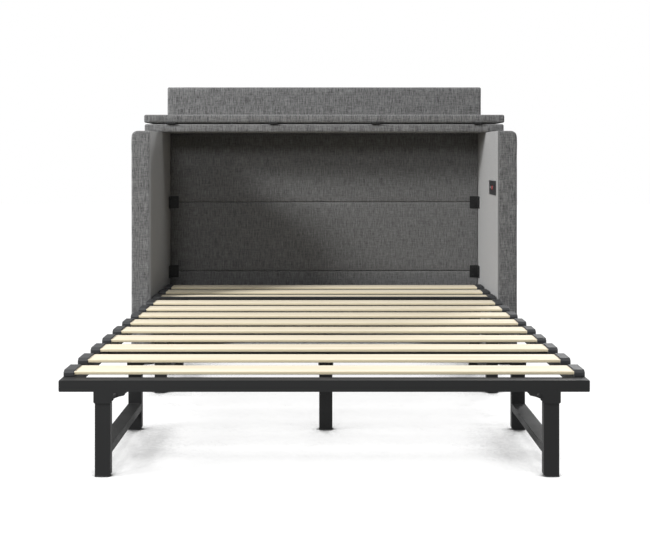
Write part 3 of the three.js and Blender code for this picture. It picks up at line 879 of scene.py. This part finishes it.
def add_foot_pads():
    """Thin plastic pads under the legs."""
    for part in ("foot", "middle"):
        for side, sign in SIDES.items():
            node = f"{part}_leg_frame_{side}"
            low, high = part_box(node)
            outer = low.x if sign < 0 else high.x
            left, right = sorted((outer, outer - sign * (LEG_WIDTH - LEG_CHAMFER)))
            bm = bmesh.new()
            for front in (low.y, high.y - LEG_DEPTH):
                add_pad(bm, left, right, front)
            add_piece(f"{node}_pads", bm, PLASTIC, BODY_OF[node])
    low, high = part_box("centre_leg")
    bm = bmesh.new()
    add_pad(bm, low.x, high.x, high.y - LEG_DEPTH)
    add_piece("centre_leg_pad", bm, PLASTIC, BODY_OF["centre_leg"])


# Slats and their holders
def slat_mesh(low, high):
    """A sprung slat: eased long edges and a slightly crowned top."""
    bm = bmesh.new()
    arc_steps, lengths = 4, 24
    half_width, half_height = (high.y - low.y) / 2, (high.z - low.z) / 2
    middle_y, middle_z = (high.y + low.y) / 2, (high.z + low.z) / 2
    outline = []
    for corner_y, corner_z, start in ((1, 1, 0), (-1, 1, 90), (-1, -1, 180), (1, -1, 270)):
        for i in range(arc_steps + 1):
            angle = math.radians(start + 90 * i / arc_steps)
            across = corner_y * (half_width - SLAT_EDGE) + SLAT_EDGE * math.cos(angle)
            upward = corner_z * (half_height - SLAT_EDGE) + SLAT_EDGE * math.sin(angle)
            drop = SLAT_CROWN * (across / half_width) ** 2
            outline.append((middle_y + across, middle_z + upward - drop))
        if corner_y > 0 and corner_z > 0:
            outline.append((middle_y, middle_z + half_height))
        if corner_y < 0 and corner_z < 0:
            outline.append((middle_y, middle_z - half_height))
    rings = []
    for i in range(lengths + 1):
        x = low.x + (high.x - low.x) * i / lengths
        rings.append([bm.verts.new((x, y, z)) for y, z in outline])
    join_rings(bm, rings)
    bmesh.ops.recalc_face_normals(bm, faces=bm.faces)
    return bm


def holder_mesh(sign, middle):
    """A closed nylon cap over one slat end, with sloped ends."""
    bm = bmesh.new()
    outer = RAIL_OUTER * sign
    inner = (RAIL_OUTER - HOLDER_WIDTH) * sign
    base, top = RAIL_TOP, RAIL_TOP + HOLDER_HEIGHT
    outline = [
        (-HOLDER_HALF, base), (HOLDER_HALF, base), (HOLDER_HALF, top - HOLDER_SLOPE_DROP),
        (HOLDER_HALF - HOLDER_SLOPE, top), (HOLDER_SLOPE - HOLDER_HALF, top),
        (-HOLDER_HALF, top - HOLDER_SLOPE_DROP)]
    ends = [[bm.verts.new((x, middle + y, z)) for y, z in outline] for x in (inner, outer)]
    join_rings(bm, ends)
    bmesh.ops.recalc_face_normals(bm, faces=bm.faces)
    return bm


def add_slats():
    for node in sorted(n for n in NODES if n.startswith("slat_")):
        low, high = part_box(node)
        middle = (low.y + high.y) / 2
        for side, sign in SIDES.items():
            holder = add_piece(
                f"{node}_holder_{side}", holder_mesh(sign, middle), PLASTIC, BODY_OF[node])
            soften(holder, HOLDER_EDGE, HOLDER_EDGE)
        reach = RAIL_OUTER - HOLDER_WIDTH + SLAT_INSERT
        low.x, high.x = -reach, reach
        piece = add_piece(
            f"{node}_ply", slat_mesh(low, high), WOOD, BODY_OF[node], [node])
        piece.data.set_sharp_from_angle(angle=SLAT_SHARP_ANGLE)


# Linings
def add_stitches(name, low, high, inward, body):
    """A row of stitches round the free face of a lining."""
    bm = bmesh.new()
    x = low.x if inward < 0 else high.x
    front, back = low.y + STITCH_INSET, high.y - STITCH_INSET
    bottom, top = low.z + STITCH_INSET, high.z - STITCH_INSET
    corners = [(front, bottom), (back, bottom), (back, top), (front, top)]
    for start, end in zip(corners, corners[1:] + corners[:1]):
        run = Vector((0, end[0] - start[0], end[1] - start[1]))
        count = int(run.length / STITCH_PITCH)
        direction = run.normalized()
        sideways = direction.cross(Vector((inward, 0, 0)))
        for i in range(count):
            middle = Vector((x, *start)) + run * ((i + 0.5) / count)
            stitch = [
                middle - direction * STITCH_LENGTH / 2, middle + sideways * STITCH_WIDTH / 2,
                middle + direction * STITCH_LENGTH / 2, middle - sideways * STITCH_WIDTH / 2]
            ring = [bm.verts.new(point) for point in stitch]
            crest = bm.verts.new(middle + Vector((inward * STITCH_RISE, 0, 0)))
            root = bm.verts.new(middle - Vector((inward * STITCH_RISE, 0, 0)))
            for j in range(4):
                bm.faces.new((ring[j], ring[(j + 1) % 4], crest))
                bm.faces.new((ring[(j + 1) % 4], ring[j], root))
    bmesh.ops.recalc_face_normals(bm, faces=bm.faces)
    add_piece(name, bm, THREAD, body)


def add_linings():
    for side in SIDES:
        node = f"side_lining_{side}"
        low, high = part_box(node)
        panel_low, panel_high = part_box(f"side_panel_{side}")
        low.y, high.z = panel_low.y + LINING_SETBACK, panel_high.z - LINING_TOP_GAP
        bm = bmesh.new()
        rounded_block(bm, low, high, LINING_EDGE)
        add_piece(f"{node}_cloth", bm, LINING_CLOTH, BODY_OF[node], [node])
        add_stitches(f"{node}_stitches", low, high, -SIDES[side], BODY_OF[node])


# Socket unit
def add_socket_piece(name, blocks, material):
    """One piece of small blocks, each given as its place along the plate and its sizes."""
    plate_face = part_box("socket_plate")[0].x
    bm = bmesh.new()
    for middle, (length, height, face, depth, edge) in blocks:
        low = Vector((plate_face + face, middle - length / 2, SOCKET_HEIGHT - height / 2))
        high = Vector((plate_face + face + depth, middle + length / 2, SOCKET_HEIGHT + height / 2))
        rounded_block(bm, low, high, edge)
    add_piece(name, bm, material, BODY_OF["socket_plate"])


def add_socket():
    for node in ("socket_plate", "socket_body"):
        piece = add_piece(
            f"{node}_moulding", node_mesh(node), SOCKET_PLASTIC, BODY_OF[node],
            [node])
        soften(piece, *SOCKET_EDGES)
    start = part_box("socket_plate")[0].y + SOCKET_MARGIN
    outlet, switch, ports = [start + (i + 0.5) * SOCKET_PITCH for i in range(3)]
    inserts = [(outlet, INSERT_BLOCK), (ports, INSERT_BLOCK)]
    # The slots and ports are flat near-black blocks, painted shade where the real holes are.
    slots = []
    tongues = []
    for offset in (-SLOT_OFFSET, SLOT_OFFSET):
        slots.append((outlet + offset, OUTLET_SLOT))
        slots.append((ports + offset, PORT_SLOT))
        tongues.append((ports + offset, PORT_TONGUE))
    add_socket_piece("socket_switch", [(switch, SWITCH_BLOCK)], RED_PLASTIC)
    add_socket_piece("socket_inserts", inserts, SOCKET_PLASTIC)
    add_socket_piece("socket_slot_shades", slots, SLOT_SHADE_PLASTIC)
    add_socket_piece("socket_tongues", tongues, TONGUE_PLASTIC)


# Stage
def add_camera():
    data = bpy.data.cameras.new("photo_camera")
    data.sensor_width = SENSOR_WIDTH
    data.lens = SENSOR_WIDTH * FOCAL_PIXELS / PHOTO_WIDTH
    data.shift_x = (PHOTO_WIDTH / 2 - MIDDLE_COLUMN) / PHOTO_WIDTH
    data.shift_y = -(PHOTO_HEIGHT / 2 - HORIZON_ROW) / PHOTO_WIDTH
    camera = bpy.data.objects.new("photo_camera", data)
    camera.location = (0, cad_box[0].y - CAMERA_REACH, CAMERA_HEIGHT)
    camera.rotation_euler = (math.pi / 2, 0, 0)
    bpy.context.scene.collection.objects.link(camera)
    bpy.context.scene.camera = camera


def seen_rays(tree):
    """1 for what the camera sees, also in a reflection or through something clear, or else 0."""
    paths = tree.nodes.new("ShaderNodeLightPath")
    seen = paths.outputs["Is Camera Ray"]
    for name in ("Is Glossy Ray", "Is Transmission Ray"):
        either = tree.nodes.new("ShaderNodeMath")
        either.operation = "MAXIMUM"
        tree.links.new(seen, either.inputs[0])
        tree.links.new(paths.outputs[name], either.inputs[1])
        seen = either.outputs[0]
    return seen


def add_floor():
    """A floor that looks white where it is open, with painted shade where the bed stands near it,
    and reflects little light onto the bed.
    """
    bm = bmesh.new()
    bmesh.ops.create_grid(bm, x_segments=2, y_segments=2, size=FLOOR_HALF)
    mesh = bpy.data.meshes.new("floor")
    bm.to_mesh(mesh)
    bm.free()
    floor = bpy.data.objects.new("floor", mesh)
    floor.location.z = -FLOOR_DROP
    bpy.context.scene.collection.objects.link(floor)
    graph = Graph("floor", Base_Color=grey(FLOOR_GREY), Roughness=0.9)
    # The glow fades where the bed is near the floor: painted shade under it and inside the cabinet.
    open_air = graph.add("AmbientOcclusion", None, SHADE_REACH, out=1)
    near = graph.spread(open_air, SHADE_FULL, SHADE_NONE, 0.0, NEAR_GLOW)
    distance = graph.add("VectorMath", graph.add("TexCoord", out=3), operation="LENGTH", out=1)
    far = graph.spread(distance, FAR_START, FAR_END, 0.0, FAR_GLOW)
    glow = graph.math("MULTIPLY", seen_rays(graph.tree), graph.math("ADD", near, far))
    graph.feed(graph.shader.inputs["Emission Strength"], glow)
    graph.shader.inputs["Emission Color"].default_value = grey(1)
    mesh.materials.append(graph.material)


def add_world():
    """White where the camera looks past the floor, and nearly dark as a light."""
    world = bpy.data.worlds.new("studio")
    bpy.context.scene.world = world
    world.use_nodes = True
    tree = world.node_tree
    background = tree.nodes["Background"]
    background.inputs["Color"].default_value = grey(1)
    strength = tree.nodes.new("ShaderNodeMapRange")
    strength.inputs["To Min"].default_value = SKY_LIGHT
    strength.inputs["To Max"].default_value = SKY_SEEN
    tree.links.new(seen_rays(tree), strength.inputs["Value"])
    tree.links.new(strength.outputs[0], background.inputs["Strength"])


def add_lamp(name, place, target, size, power):
    data = bpy.data.lights.new(name, "AREA")
    data.shape = "SQUARE"
    data.size = size
    data.energy = power
    lamp = bpy.data.objects.new(name, data)
    lamp.location = place
    direction = Vector(target) - Vector(place)
    lamp.rotation_euler = direction.to_track_quat("-Z", "Y").to_euler()
    bpy.context.scene.collection.objects.link(lamp)


def add_lamps():
    """Soft lamps. The key light and the side light throw the lid's shadow into the cabinet."""
    add_lamp("key", place=(-7.2, -3.0, 5.0), target=BED_MIDDLE, size=2.0, power=1150)
    add_lamp("fill", place=(-1.55, -7.4, 4.5), target=BED_MIDDLE, size=2.0, power=222)
    add_lamp("top", place=(-0.6, 0.2, 4.2), target=(0, 0.2, 0), size=1.8, power=27)
    add_lamp("side", place=(7.2, 0.15, 4.0), target=(-0.79, 0.6, 0.7), size=1.0, power=120)
    add_lamp("rear", place=(4.5, 5.5, 4.0), target=(0, 0.8, 0.6), size=2.0, power=420)


add_boards()
add_seam_shade_tapes()
add_steel()
add_pins()
add_fasteners()
add_welds()
add_end_plugs()
add_foot_pads()
add_slats()
add_linings()
add_socket()
add_camera()
add_floor()
add_world()
add_lamps()
bpy.context.scene.view_settings.view_transform = "Standard"
